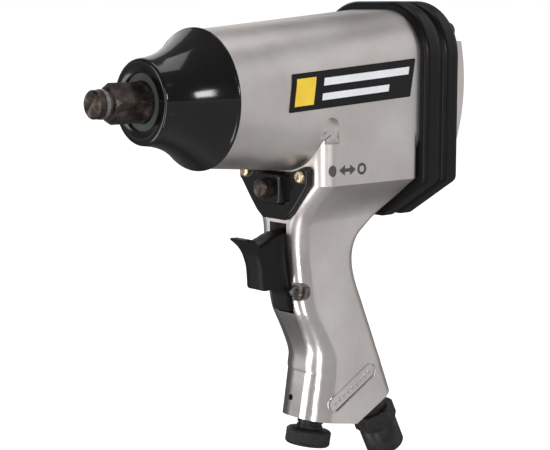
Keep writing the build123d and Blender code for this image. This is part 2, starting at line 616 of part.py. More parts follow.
with BuildPart() as valve_cover_screws:
    along_x(COVER_FACE, 111, 1.6, places=VALVE_SCREWS)
    along_x(COVER_FACE - 2.2, COVER_FACE, 3.0, places=VALVE_SCREWS)
    fillet(valve_cover_screws.faces().group_by(Axis.X)[0].edges(), 1.4)
    with BuildSketch(Plane.YZ.offset(COVER_FACE - 2.3)) as cross_slots:
        with Locations(*VALVE_SCREWS):
            Rectangle(2.8, 0.5, rotation=20)
            Rectangle(0.5, 2.8, rotation=20)
    extrude(cross_slots.sketch, amount=0.9, mode=Mode.SUBTRACT)

with BuildPart() as reverse_bush:
    along_x(FRONT_FACE, VALVE_BUSH_BACK, BUSH_R, PLUNGER_R + FIT, places=[(0, VALVE_Z)])

with BuildPart() as reverse_plunger:
    along_x(PLUNGER_FRONT, PLUNGER_BACK, PLUNGER_R, places=[(0, VALVE_Z)])
    fillet(reverse_plunger.faces().sort_by(Axis.X)[0].edges(), 1.8)
    place = [(0, VALVE_Z)]
    for spool_start, spool_end in [(112, 117), (123, 128)]:
        along_x(spool_start, spool_end, PLUNGER_R + 1, 3.2, places=place, mode=Mode.SUBTRACT)
    for groove in RING_GROOVES:
        along_x(groove - 0.8, groove + 0.8, PLUNGER_R + 1, RING_FLOOR_R, places=place, mode=Mode.SUBTRACT)

with BuildPart() as reverse_o_rings:
    with BuildSketch(Plane.XZ) as ring_sections:
        with Locations(*[(groove, VALVE_Z + RING_MID_R) for groove in RING_GROOVES]):
            Circle(0.65)
    revolve(axis=Axis((0, 0, VALVE_Z), (1, 0, 0)))

# ---------------------------------------------------------------- trigger and throttle valve
with BuildPart() as trigger:
    with BuildSketch(Plane.XZ) as trigger_side:
        with BuildLine():
            Line(TRIGGER_TIP, TRIGGER_SHOULDER)
            Line(TRIGGER_SHOULDER, TRIGGER_NECK)
            Line(TRIGGER_NECK, TRIGGER_ARC_START)
            RadiusArc(TRIGGER_ARC_START, TRIGGER_ARC_END, TRIGGER_ARC_R)
            Polyline(
                TRIGGER_ARC_END,
                (112.0, -96.0),
                (109.0, -100.0),
                (104.6, -99.8),
                (103.9, -93.0),
                (101.0, -89.4),
                (93.0, -88.2),
                (88.4, -88.2),
            )
            ThreePointArc((88.4, -88.2), (88.0, -76.5), TRIGGER_TIP)
        make_face()
    extrude(trigger_side.sketch, amount=PAD_HALF, both=True)
    with Locations((PAD_BACK + 15, PAD_HALF, -80), (PAD_BACK + 15, -PAD_HALF, -80)):
        Box(30, 2 * (PAD_HALF - TRIGGER_HALF), 60, mode=Mode.SUBTRACT)
    fillet(trigger.edges().filter_by(Axis.Y).group_by(Axis.X)[0], 0.4)
    tube(Plane.XZ, -20, 20, TRIGGER_PIN_R + FIT, places=[TRIGGER_PIN], mode=Mode.SUBTRACT)

with BuildPart() as trigger_pin:
    tube(Plane.XZ, -PIN_END, PIN_SEAT, TRIGGER_PIN_R, places=[TRIGGER_PIN])
    tube(Plane.XZ, PIN_SEAT, PIN_SEAT + PIN_HEAD, PIN_HEAD_R, places=[TRIGGER_PIN])
    chamfer(trigger_pin.faces().sort_by(Axis.Y)[0].edges(), 0.35)
    with BuildSketch(Plane.XZ.offset(PIN_SEAT + 0.5)) as pin_socket:
        with Locations(TRIGGER_PIN):
            RegularPolygon(1.7, 6)
    extrude(pin_socket.sketch, amount=3, mode=Mode.SUBTRACT)

with BuildPart() as throttle_bush:
    along_x(SLOT_BACK + 0.2, BUSH_BACK, BUSH_R - 1.5, STEM_R + FIT, places=[(0, THROTTLE_Z)])

with BuildPart() as throttle_stem:
    along_x(STEM_FRONT + STEM_R, BUSH_BACK + 0.4, STEM_R, places=[(0, THROTTLE_Z)])
    with Locations((STEM_FRONT + STEM_R, 0, THROTTLE_Z)):
        Sphere(STEM_R)
    along_x(BUSH_BACK + 0.4, BUSH_BACK + 2.4, 4.0, places=[(0, THROTTLE_Z)])

with BuildPart() as throttle_seal:
    along_x(BUSH_BACK, BUSH_BACK + 0.4, 3.8, STEM_R, places=[(0, THROTTLE_Z)])

with BuildPart() as throttle_spring:
    coil_start = (BUSH_BACK + 2.9, 0, THROTTLE_Z)
    with BuildLine():
        coil = Helix(pitch=1.9, height=7.2, radius=3.2, center=coil_start, direction=(1, 0, 0))
    with BuildSketch(Plane(origin=coil @ 0, z_dir=coil % 0)):
        Circle(0.4)
    sweep(path=coil)

# ---------------------------------------------------------------- regulator and air inlet
with BuildPart() as regulator:
    tube(REG_PLANE, KNOB_START, KNOB_END, KNOB_R)
    chamfer(regulator.edges().filter_by(GeomType.CIRCLE), 1.2)
    tube(REG_PLANE, 0.4, KNOB_START, 6.2)
    tube(REG_PLANE, -REG_DEPTH + 1, 0.4, REG_STEM_R)
    tube(REG_PLANE, *REG_GROOVE, REG_STEM_R + 1, 2.1, mode=Mode.SUBTRACT)
    tube(REG_PLANE, -4.4, -2.6, REG_STEM_R + 1, 3.9, mode=Mode.SUBTRACT)

with BuildPart() as regulator_o_ring:
    tube(REG_PLANE, -4.2, -2.8, REG_STEM_R - 0.02, 3.95)

with BuildPart() as regulator_pin:
    along_x(ROLL_PIN_START, ROLL_PIN_END - 1, ROLL_PIN_R, 0.7, places=[(ROLL_PIN_Y, ROLL_PIN_Z)])

with BuildPart() as air_inlet:
    tube(INLET_PLANE, -INLET_DEPTH + 1, HEX_START, INLET_NECK_R)
    with BuildSketch(INLET_PLANE.offset(HEX_START)) as hexagon:
        RegularPolygon(HEX_CORNER_R, 6)
    extrude(hexagon.sketch, amount=HEX_END - HEX_START)
    chamfer(air_inlet.faces().filter_by(GeomType.PLANE).group_by(Axis.Z)[-1].edges(), 0.3)
    tube(INLET_PLANE, HEX_END, INLET_END, INLET_OUT_R)
    chamfer(air_inlet.faces().sort_by(Axis((0, 0, 0), INLET_PLANE.z_dir))[-1].edges(), 0.8)
    tube(INLET_PLANE, THREAD_START, INLET_END, INLET_THREAD_R, mode=Mode.SUBTRACT)
    tube(INLET_PLANE, SCREEN_START, THREAD_START, SCREEN_R, mode=Mode.SUBTRACT)
    tube(INLET_PLANE, -INLET_DEPTH, THREAD_START, 4.2, mode=Mode.SUBTRACT)

with BuildPart() as inlet_washer:
    tube(INLET_PLANE, 0, 1.6, 9.2, INLET_NECK_R)

with BuildPart() as inlet_screen:
    tube(INLET_PLANE, SCREEN_START, THREAD_START, SCREEN_R - 0.02)
    with BuildSketch(INLET_PLANE.offset(SCREEN_START)) as mesh_holes:
        with GridLocations(1.6, 1.6, 4, 4):
            Circle(0.55)
    extrude(mesh_holes.sketch, amount=1, mode=Mode.SUBTRACT)

# ---------------------------------------------------------------- side plug and plates
with BuildPart() as side_plug:
    tube(Plane.XZ, PLUG_END, ARCH_FLOOR + 0.9, PLUG_R, places=[PLUG_PLACE])
    with BuildSketch(Plane.XZ.offset(ARCH_FLOOR + 0.2)) as plug_slot:
        with Locations(PLUG_PLACE):
            Rectangle(2 * PLUG_R, 0.7, rotation=30)
    extrude(plug_slot.sketch, amount=2, mode=Mode.SUBTRACT)

with BuildPart() as name_plate:
    skin = [barrel_section(BARREL_FRONT, PLATE_SKIN), barrel_section(BARREL_BACK, PLATE_SKIN)]
    loft(skin, ruled=True)
    add(barrel.part, mode=Mode.SUBTRACT)
    with BuildSketch(Plane.XZ.offset(10)) as plate_outline:
        with BuildLine():
            Polyline(*PLATE_CORNERS, close=True)
        make_face()
        fillet(plate_outline.vertices(), 0.6)
    extrude(plate_outline.sketch, amount=40, mode=Mode.INTERSECT)

with BuildPart() as grip_badge:
    with BuildSketch(BADGE_PLANE) as badge:
        SlotOverall(BADGE_LENGTH - 0.6, BADGE_WIDTH - 0.6)
    extrude(badge.sketch, amount=0.5)

# ---------------------------------------------------------------- export
pieces = {
    "motor_housing": motor_housing,
    "hammer_case": hammer_case,
    "front_gasket": front_gasket,
    "anvil_bushing": anvil_bushing,
    "nose_seal": nose_seal,
    "anvil": anvil,
    "anvil_o_ring": anvil_o_ring,
    "friction_ring": friction_ring,
    "hammer_cage": hammer_cage,
    "hammer_pins": hammer_pins,
    "hammer_dog": hammer_dog,
    "front_end_plate": front_end_plate,
    "rear_end_plate": rear_end_plate,
    "cylinder": cylinder,
    "cylinder_dowel": cylinder_dowel,
    "rotor": rotor,
    "rotor_vanes": rotor_vanes,
    "rear_gasket": rear_gasket,
    "rear_cover": rear_cover,
    "spring_washers": spring_washers,
    "cover_screws": cover_screws,
    "rear_bumper": rear_bumper,
    "valve_gasket": valve_gasket,
    "valve_cover": valve_cover,
    "valve_cover_screws": valve_cover_screws,
    "reverse_bush": reverse_bush,
    "reverse_plunger": reverse_plunger,
    "reverse_o_rings": reverse_o_rings,
    "trigger": trigger,
    "trigger_pin": trigger_pin,
    "throttle_bush": throttle_bush,
    "throttle_stem": throttle_stem,
    "throttle_seal": throttle_seal,
    "throttle_spring": throttle_spring,
    "regulator": regulator,
    "regulator_o_ring": regulator_o_ring,
    "regulator_pin": regulator_pin,
    "air_inlet": air_inlet,
    "inlet_washer": inlet_washer,
    "inlet_screen": inlet_screen,
    "side_plug": side_plug,
    "name_plate": name_plate,
    "grip_badge": grip_badge,
    **bearing_parts,
}
for name, piece in pieces.items():
    piece.part.label = name
    export_step(piece.part, f"parts/{name}.step")
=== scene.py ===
"""Looks for the pneumatic impact wrench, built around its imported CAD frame.

The frame and Blender are in metres. Profiles, outlines and other sizes of a piece are in mm, and MM turns
them into metres.
"""

import json
import math

import bmesh
import bpy
from mathutils import Matrix, Vector
from mathutils.bvhtree import BVHTree


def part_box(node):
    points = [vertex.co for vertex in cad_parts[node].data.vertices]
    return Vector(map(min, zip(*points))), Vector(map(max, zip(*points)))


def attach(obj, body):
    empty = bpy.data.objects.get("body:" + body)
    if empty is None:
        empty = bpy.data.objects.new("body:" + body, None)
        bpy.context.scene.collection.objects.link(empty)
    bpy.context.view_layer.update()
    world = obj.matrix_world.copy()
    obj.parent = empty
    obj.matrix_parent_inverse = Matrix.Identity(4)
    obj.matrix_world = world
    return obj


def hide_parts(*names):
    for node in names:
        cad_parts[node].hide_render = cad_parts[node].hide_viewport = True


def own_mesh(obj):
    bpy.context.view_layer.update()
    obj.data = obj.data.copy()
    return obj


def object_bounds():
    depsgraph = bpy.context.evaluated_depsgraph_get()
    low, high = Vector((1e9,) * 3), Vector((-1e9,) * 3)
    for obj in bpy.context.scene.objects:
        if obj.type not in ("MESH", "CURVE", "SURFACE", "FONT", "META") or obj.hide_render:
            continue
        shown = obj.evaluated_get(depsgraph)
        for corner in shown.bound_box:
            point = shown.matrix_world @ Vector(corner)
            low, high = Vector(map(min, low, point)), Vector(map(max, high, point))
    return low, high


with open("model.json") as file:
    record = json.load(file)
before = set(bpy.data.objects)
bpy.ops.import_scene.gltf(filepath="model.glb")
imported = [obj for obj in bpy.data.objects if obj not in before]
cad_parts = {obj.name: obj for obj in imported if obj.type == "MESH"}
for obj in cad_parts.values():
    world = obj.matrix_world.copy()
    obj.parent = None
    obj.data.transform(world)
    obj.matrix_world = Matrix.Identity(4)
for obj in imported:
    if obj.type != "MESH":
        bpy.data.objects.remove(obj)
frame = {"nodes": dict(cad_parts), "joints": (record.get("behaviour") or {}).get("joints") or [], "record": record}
cad_low, cad_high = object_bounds()

MM = 0.001
nodes = frame["nodes"]
record = frame["record"]
joints = {joint["name"]: joint for joint in frame["joints"]}
mounts = {mount["name"]: mount for mount in record["mounts"]}


# ---------------------------------------------------------------- procedural finishes
class Finish:
    """A Principled material whose colour, roughness and relief come from noise in object space."""

    def __init__(self, name, metallic=0.0, specular=0.5):
        self.material = bpy.data.materials.new(name)
        self.material.use_nodes = True
        self.tree = self.material.node_tree
        self.shader = self.tree.nodes["Principled BSDF"]
        self.shader.inputs["Metallic"].default_value = metallic
        self.shader.inputs["Specular IOR Level"].default_value = specular
        self.coordinates = self.add("ShaderNodeTexCoord")
        self.last_bump = None

    def add(self, kind, **settings):
        node = self.tree.nodes.new(kind)
        for key, value in settings.items():
            setattr(node, key, value)
        return node

    def link(self, source, target):
        self.tree.links.new(source, target)

    def noise(self, scale, stretch=(1, 1, 1), detail=4.0, roughness=0.55):
        mapping = self.add("ShaderNodeMapping")
        mapping.inputs["Scale"].default_value = stretch
        self.link(self.coordinates.outputs["Object"], mapping.inputs["Vector"])
        noise = self.add("ShaderNodeTexNoise")
        noise.inputs["Scale"].default_value = scale
        noise.inputs["Detail"].default_value = detail
        noise.inputs["Roughness"].default_value = roughness
        self.link(mapping.outputs["Vector"], noise.inputs["Vector"])
        return noise.outputs["Fac"]

    def ramp(self, source, stops):
        ramp = self.add("ShaderNodeValToRGB")
        elements = ramp.color_ramp.elements
        while len(elements) < len(stops):
            elements.new(0.5)
        for element, (place, colour) in zip(elements, stops):
            element.position = place
            element.color = (*colour, 1.0)
        self.link(source, ramp.inputs["Fac"])
        return ramp.outputs["Color"]

    def span(self, source, low, high, start=0.3, end=0.7):
        """Maps a value from start..end to low..high."""
        node = self.add("ShaderNodeMapRange")
        node.inputs["From Min"].default_value = start
        node.inputs["From Max"].default_value = end
        node.inputs["To Min"].default_value = low
        node.inputs["To Max"].default_value = high
        self.link(source, node.inputs["Value"])
        return node.outputs["Result"]

    def math(self, operation, first, second):
        node = self.add("ShaderNodeMath", operation=operation)
        for place, value in enumerate((first, second)):
            if isinstance(value, (int, float)):
                node.inputs[place].default_value = value
            else:
                self.link(value, node.inputs[place])
        return node.outputs["Value"]

    def axes(self):
        split = self.add("ShaderNodeSeparateXYZ")
        self.link(self.coordinates.outputs["Object"], split.inputs["Vector"])
        return split.outputs["X"], split.outputs["Y"], split.outputs["Z"]

    def colour(self, source):
        self.link(source, self.shader.inputs["Base Color"])

    def rough(self, source):
        self.link(source, self.shader.inputs["Roughness"])

    def bump(self, height, distance, strength=1.0):
        node = self.add("ShaderNodeBump")
        node.inputs["Distance"].default_value = distance
        node.inputs["Strength"].default_value = strength
        self.link(height, node.inputs["Height"])
        if self.last_bump:
            self.link(self.last_bump, node.inputs["Normal"])
        self.last_bump = node.outputs["Normal"]
        self.link(self.last_bump, self.shader.inputs["Normal"])


def grained(name, dark, light, rough, metallic=0.0, blotch=60.0, grain=900.0, relief=0.02,
            stretch=(1, 1, 1), specular=0.5):
    """A finish with two tones in blotches, uneven gloss and a fine grain."""
    finish = Finish(name, metallic, specular)
    patches = finish.noise(blotch, detail=5.0)
    fine = finish.noise(grain, stretch, detail=6.0, roughness=0.65)
    mixed = finish.math("ADD", finish.math("MULTIPLY", patches, 0.65), finish.math("MULTIPLY", fine, 0.35))
    finish.colour(finish.ramp(mixed, [(0.38, dark), (0.62, light)]))
    finish.rough(finish.span(mixed, rough[0], rough[1]))
    finish.bump(fine, relief * MM)
    return finish


# the buffed front edge of the grip fades out over these lengths, in metres, back along X and up Z
BUFF_X = (0.104, 0.116)
BUFF_Z = (-0.078, -0.062)
BUFF_LEAN = 0.18


def cast_aluminium():
    """Belt polished casting: brushed round the barrel, buffed brighter along the grip's front edge."""
    finish = Finish("cast_aluminium", metallic=1.0)
    patches = finish.noise(28.0, detail=5.0)
    brushed = finish.noise(420.0, (3.2, 0.35, 0.35), detail=6.0, roughness=0.7)
    pores = finish.noise(1500.0, detail=3.0)
    tone = finish.math("ADD", finish.math("MULTIPLY", patches, 0.8), finish.math("MULTIPLY", brushed, 0.2))
    stops = [(0.36, (0.54, 0.505, 0.485)), (0.5, (0.60, 0.565, 0.545)), (0.64, (0.66, 0.63, 0.61))]
    finish.colour(finish.ramp(tone, stops))
    x, y, z = finish.axes()
    along = finish.math("ADD", x, finish.math("MULTIPLY", z, BUFF_LEAN))
    edge = finish.span(along, 1.0, 0.0, *BUFF_X)
    low = finish.span(z, 1.0, 0.0, *BUFF_Z)
    buffed = finish.math("MULTIPLY", edge, low)
    satin = finish.span(tone, 0.34, 0.46)
    finish.rough(finish.math("SUBTRACT", satin, finish.math("MULTIPLY", buffed, 0.20)))
    finish.bump(brushed, 0.012 * MM)
    finish.bump(pores, 0.006 * MM)
    finish.bump(finish.noise(60.0, detail=2.0), 0.04 * MM, 0.6)
    return finish


def worn_steel():
    """Phosphated drive steel, worn to brown and grey where sockets rub."""
    finish = Finish("phosphated_steel", metallic=0.85, specular=0.4)
    patches = finish.noise(190.0, detail=6.0, roughness=0.65)
    turned = finish.noise(700.0, (2.5, 0.5, 0.5), detail=5.0)
    tone = finish.math("ADD", finish.math("MULTIPLY", patches, 0.7), finish.math("MULTIPLY", turned, 0.3))
    stops = [(0.36, (0.020, 0.017, 0.015)), (0.5, (0.055, 0.043, 0.037)), (0.64, (0.15, 0.120, 0.104))]
    finish.colour(finish.ramp(tone, stops))
    finish.rough(finish.span(tone, 0.32, 0.5))
    finish.bump(turned, 0.02 * MM)
    finish.bump(patches, 0.05 * MM)
    return finish


def rubber(name, colour, rough, relief=0.03):
    """A matt grained rubber, darker in patches."""
    return grained(name, [value * 0.7 for value in colour], colour, rough, blotch=45.0, grain=1300.0,
                   relief=relief, specular=0.15)


FINISHES = {
    "cast_aluminium": cast_aluminium(),
    "black_paint": grained("black_paint", (0.0015, 0.0015, 0.0015), (0.004, 0.0037, 0.0034), (0.09, 0.14),
                           blotch=35.0, grain=260.0, relief=0.004, specular=0.45),
    "phosphated_steel": worn_steel(),
    "ground_steel": grained("ground_steel", (0.42, 0.42, 0.43), (0.60, 0.60, 0.61), (0.25, 0.4), 1.0,
                            stretch=(3, 0.4, 0.4)),
    "hardened_steel": grained("hardened_steel", (0.12, 0.12, 0.125), (0.30, 0.29, 0.28), (0.3, 0.45), 1.0),
    "bearing_steel": grained("bearing_steel", (0.60, 0.60, 0.62), (0.75, 0.75, 0.77), (0.1, 0.18), 1.0,
                             relief=0.004),
    "bronze": grained("bronze", (0.36, 0.23, 0.11), (0.62, 0.45, 0.25), (0.35, 0.5), 1.0),
    "brass": grained("brass", (0.60, 0.45, 0.22), (0.76, 0.62, 0.34), (0.22, 0.35), 1.0),
    "zinc_screw": grained("zinc_screw", (0.46, 0.36, 0.22), (0.74, 0.64, 0.46), (0.2, 0.32), 1.0,
                          blotch=300.0),
    "black_screw": grained("black_screw", (0.007, 0.007, 0.0072), (0.019, 0.018, 0.017), (0.34, 0.46),
                           blotch=220.0, relief=0.02, specular=0.28),
    "bumper_rubber": rubber("bumper_rubber", (0.006, 0.006, 0.006), (0.28, 0.40), 0.012),
    "seal_rubber": rubber("seal_rubber", (0.055, 0.065, 0.058), (0.5, 0.7)),
    "gasket_fibre": grained("gasket_fibre", (0.03, 0.03, 0.03), (0.09, 0.088, 0.085), (0.7, 0.85)),
    "black_plastic": grained("black_plastic", (0.005, 0.005, 0.005), (0.010, 0.010, 0.010), (0.38, 0.5),
                             grain=1700.0, relief=0.02, specular=0.15),
    "vane_resin": grained("vane_resin", (0.18, 0.09, 0.05), (0.33, 0.19, 0.11), (0.5, 0.65)),
    "cage_plastic": grained("cage_plastic", (0.42, 0.29, 0.13), (0.58, 0.43, 0.22), (0.4, 0.5)),
    "plate_black": grained("plate_black", (0.003, 0.003, 0.0035), (0.006, 0.006, 0.0065), (0.25, 0.34),
                           grain=1800.0, relief=0.002, specular=0.22),
    "spring_steel": grained("spring_steel", (0.30, 0.30, 0.31), (0.52, 0.52, 0.53), (0.25, 0.35), 1.0),
}
accent = grained("accent_amber", (0.78, 0.50, 0.02), (0.90, 0.62, 0.05), (0.3, 0.42), grain=1800.0, relief=0.004)
print_white = grained("print_white", (0.70, 0.72, 0.75), (0.82, 0.83, 0.85), (0.3, 0.42), grain=1800.0,
                      relief=0.004)
print_black = grained("print_black", (0.035, 0.033, 0.032), (0.07, 0.066, 0.062), (0.5, 0.65), grain=1800.0)

for row in record["subparts"]:
    mesh = nodes[row["node"]].data
    mesh.materials.clear()
    mesh.materials.append(FINISHES[row["material_slot"]].material)


# ---------------------------------------------------------------- mesh helpers
def piece(name, mesh_maker, body, finish, stands_for=(), smooth=True, bevel=0.0):
    """Makes a mesh object from a bmesh builder with the finish's material, ties it to its body, and hides the CAD
    nodes it stands for.
    """
    build = bmesh.new()
    mesh_maker(build)
    bmesh.ops.remove_doubles(build, verts=build.verts, dist=1e-7)
    bmesh.ops.recalc_face_normals(build, faces=build.faces)
    mesh = bpy.data.meshes.new(name)
    build.to_mesh(mesh)
    build.free()
    thing = bpy.data.objects.new(name, mesh)
    bpy.context.scene.collection.objects.link(thing)
    mesh.materials.append(finish.material)
    if bevel:
        modifier = thing.modifiers.new("soft_edges", "BEVEL")
        modifier.width = bevel
        modifier.segments = 3
        modifier.limit_method = "ANGLE"
        modifier.angle_limit = math.radians(40)
    for face in mesh.polygons:
        face.use_smooth = smooth
    if smooth:
        mesh.set_sharp_from_angle(angle=math.radians(42))
    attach(thing, body)
    if stands_for:
        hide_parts(*stands_for)
    return thing


def basis(origin, axis):
    """A matrix whose Z is axis, whose Y is the row frame's Y as nearly as it can be, from origin."""
    z = Vector(axis).normalized()
    y = Vector((0, 1, 0))
    y = (y - z * y.dot(z)).normalized()
    x = y.cross(z)
    turn = Matrix((x, y, z)).transposed().to_4x4()
    return Matrix.Translation(origin) @ turn


def band(build, first, second):
    """Joins two rings of vertices with quads, all the way round."""
    for here in range(len(first)):
        after = (here + 1) % len(first)
        build.faces.new((first[here], first[after], second[after], second[here]))


def wire_ring(build, centre, first, second, radius, steps):
    """A ring of vertices about centre, in the plane of two directions, with its radius in mm."""
    return [build.verts.new(centre + (first * math.cos(math.tau * step / steps)
                                      + second * math.sin(math.tau * step / steps)) * radius * MM)
            for step in range(steps)]


def lathe(build, place, profile, segments=96, shape=None):
    """Turns a closed or open profile of (along, radius) in mm about place's Z.
    shape(along, angle, radius) may change a ring point's radius."""
    rings = []
    for along, radius in profile:
        ring = []
        for step in range(segments):
            angle = math.tau * step / segments
            reach = shape(along, angle, radius) if shape else radius
            ring.append(build.verts.new(
                place @ Vector((reach * math.cos(angle) * MM, reach * math.sin(angle) * MM, along * MM))))
        rings.append(ring)
    for first, second in zip(rings, rings[1:]):
        band(build, first, second)


def smooth_through(points, steps=6):
    """Catmull-Rom points through the given ones."""
    dense = []
    padded = [points[0]] + list(points) + [points[-1]]
    for p0, p1, p2, p3 in zip(padded, padded[1:], padded[2:], padded[3:]):
        for step in range(steps):
            t = step / steps
            dense.append(tuple(
                0.5 * (2 * b + (c - a) * t + (2 * a - 5 * b + 4 * c - d) * t * t
                       + (3 * b - a - 3 * c + d) * t ** 3)
                for a, b, c, d in zip(p0, p1, p2, p3)))
    dense.append(tuple(points[-1]))
    return dense


def arc(centre, radius, start, end, steps=6):
    """Points of an arc in a profile, with its angles in degrees."""
    return [(centre[0] + radius * math.cos(math.radians(start + (end - start) * k / steps)),
             centre[1] + radius * math.sin(math.radians(start + (end - start) * k / steps)))
            for k in range(steps + 1)]


def surface(*names):
    """A ray tester for CAD nodes as they are at rest."""
    build = bmesh.new()
    for name in names:
        build.from_mesh(nodes[name].data)
    tree = BVHTree.FromBMesh(build)
    build.free()
    return tree


# ---------------------------------------------------------------- hammer case
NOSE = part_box("hammer_case")[0].x / MM      # the nose's front face
NOSE_BORE = 12.3
FLARE_BACK = 53.0
LIP_BACK = 54.4
LIP_R = 31.2
PILOT_R, PILOT_BACK = 27.0, 57.4            # the part that sits in the housing


def make_case(build):
    """The flared nose, from its rounded front edge to the lip against the barrel, and its inside."""
    outside = arc((NOSE + 1.4, 17.2), 1.4, 180, 90, 7)
    flare = smooth_through([(NOSE + 1.4, 18.6), (31.0, 19.3), (36.0, 20.6), (41.0, 22.6), (46.0, 25.4),
                            (50.0, 28.1), (FLARE_BACK, 30.4)], 8)
    lip = smooth_through([(FLARE_BACK, 30.4), (53.75, LIP_R - 0.1), (LIP_BACK, LIP_R - 0.02)], 4)
    inside = [(LIP_BACK, PILOT_R), (PILOT_BACK, PILOT_R), (PILOT_BACK, 24.6), (50.0, 20.0),
              (50.0, NOSE_BORE), (NOSE + 1.0, NOSE_BORE)]
    chamfer = [(NOSE + 0.3, NOSE_BORE + 0.6), (NOSE, NOSE_BORE + 1.0)]
    profile = [(NOSE, NOSE_BORE + 1.0)] + outside + flare[1:] + lip[1:] + inside + chamfer
    lathe(build, basis((0, 0, 0), (1, 0, 0)), profile, 144)


piece("case_shell", make_case, "housing", FINISHES["black_paint"], ("hammer_case",))

# ---------------------------------------------------------------- regulator knob
turn = joints["regulator_turn"]
reg_place = basis(Vector(turn["pos_m"]), Vector(turn["axis"]))
KNOB_TOP, KNOB_END = 5.2, 13.2       # along the knob's own axis
KNOB_R = 10.8
KNOB_EDGE = 1.2                      # plain rim above and below the knurling
KNURL_DEEP, KNURL_COUNT, KNURL_LEAD = 0.42, 30, 2.1
STEM_R, NECK_R, SHANK_R = 5.15, 5.7, 6.2


def knurl(along, angle, radius):
    """Diamond knurling on the knob's rim."""
    if not (KNOB_TOP + KNOB_EDGE < along < KNOB_END - KNOB_EDGE) or radius < KNOB_R - 0.05:
        return radius
    first = abs(math.sin(angle * KNURL_COUNT + along * KNURL_LEAD))
    second = abs(math.sin(angle * KNURL_COUNT - along * KNURL_LEAD))
    return radius - KNURL_DEEP * (1 - min(first, second))


def make_knob(build):
    """The regulator's stem, its necked shank and the knob, with a shallow dish in the knob's end."""
    rows = 18
    knurled = KNOB_END - KNOB_TOP - 2 * KNOB_EDGE
    rim = [(KNOB_TOP + KNOB_EDGE + knurled * k / rows, KNOB_R) for k in range(rows + 1)]
    profile = [(-4.6, 3.9), (-4.4, STEM_R), (0.4, STEM_R), (0.4, SHANK_R), (2.4, SHANK_R), (2.6, NECK_R),
               (3.4, NECK_R), (3.6, SHANK_R), (KNOB_TOP, SHANK_R), (KNOB_TOP, 9.4)]
    profile += [(KNOB_TOP + 0.25, 10.0), (KNOB_TOP + 1.1, KNOB_R - 0.06)] + rim
    profile += [(KNOB_END - 1.1, KNOB_R - 0.06), (KNOB_END - 0.25, 10.0), (KNOB_END, 9.4)]
    profile += [(KNOB_END, 4.4), (KNOB_END - 1.0, 4.0), (KNOB_END - 1.0, 0.01)]
    lathe(build, reg_place, profile, 360, knurl)


piece("regulator_knob", make_knob, "regulator_group", FINISHES["black_screw"], ("regulator",))

# ---------------------------------------------------------------- air inlet
port = mounts["air_inlet_thread"]
inlet_axis = Vector(port["axis"]).normalized()
THREAD_MIDDLE = 26.3         # the mount's place along the inlet
THREAD_PITCH = 1.41
THREAD_START, THREAD_LENGTH = 33.3, 15.0
THREAD_R = 6.3               # marks the profile's points that the thread moves
inlet_place = basis(Vector(port["pos_m"]) - inlet_axis * THREAD_MIDDLE * MM, inlet_axis)
HEX_START, HEX_END = 10.5, 19.8
HEX_R = 11.0
HEX_FLAT = HEX_R * math.cos(math.pi / 6)


def hexed(along, angle, radius):
    """The hexagon's radius at an angle, with its corners turned off where radius is less."""
    if not HEX_START - 0.01 <= along <= HEX_END + 0.01:
        return radius
    local = (angle + math.pi / 6) % (math.pi / 3) - math.pi / 6
    return min(radius, HEX_FLAT / math.cos(local))


def make_inlet(build):
    """The inlet bushing: a spigot in the handle, the hexagon and a round end with a thread inside."""
    steps = int(THREAD_LENGTH / THREAD_PITCH * 8)
    profile = [(1.7, 4.4), (1.7, 7.7), (HEX_START - 0.02, 7.7), (HEX_START, 9.5), (HEX_START + 0.5, 10.3),
               (HEX_START + 1.0, HEX_R), (HEX_END - 1.0, HEX_R), (HEX_END - 0.5, 10.3), (HEX_END, 9.6),
               (HEX_END + 0.02, 9.3), (HEX_END + 0.5, 9.3), (HEX_END + 0.9, 9.65), (33.0, 9.65), (33.6, 9.3),
               (33.9, 8.7), (33.9, 7.0)]
    profile += [(THREAD_START - THREAD_LENGTH * step / steps, THREAD_R) for step in range(steps + 1)]
    profile += [(18.4, 5.0), (17.8, 4.4), (1.7, 4.4)]

    def shape(along, angle, radius):
        if abs(radius - THREAD_R) < 0.01:
            return THREAD_R + 0.05 + 0.55 * math.sin(along / THREAD_PITCH * math.tau + angle)
        return hexed(along, angle, radius)

    lathe(build, inlet_place, profile, 120, shape)


piece("inlet_body", make_inlet, "housing", FINISHES["black_screw"], ("air_inlet",))

# ---------------------------------------------------------------- trigger
TRIGGER_WEB = 5.3            # half width in the slot
PAD_REACH = 5.95             # half width of the finger pad
PAD_BACK = 93.0
TRIGGER_CENTRE = Vector((96.0, -78.0))


def trigger_outline():
    """The trigger's side view in mm, clockwise from its tip, with every corner rounded."""
    tip = [(78.3, -64.3), (78.5, -63.85), (79.0, -63.75)]
    top = [(82.4, -63.9), (83.0, -64.05), (83.5, -64.5), (85.6, -67.5), (86.0, -67.95), (86.5, -67.7)]
    crest = smooth_through([(86.5, -67.7), (91.6, -65.9), (97.0, -63.6), (103.0, -62.6), (111.9, -62.5)], 5)
    heel = [(111.9, -95.9), (109.0, -99.9), (104.9, -99.75), (104.3, -98.6), (103.9, -93.2), (103.2, -91.2),
            (101.6, -89.8), (100.2, -89.35)]
    foot = [(96.0, -88.6), (93.0, -88.4), (90.6, -88.4), (89.2, -88.2), (88.5, -87.4)]
    # the finger's hollow follows the circle through the tip and the foot
    hollow = smooth_through([(88.5, -87.4), (88.1, -82.6), (87.3, -76.9), (85.1, -71.2), (81.9, -67.2),
                             (78.3, -64.3)], 6)
    return tip + top + crest[1:] + heel + foot + hollow[1:-1]


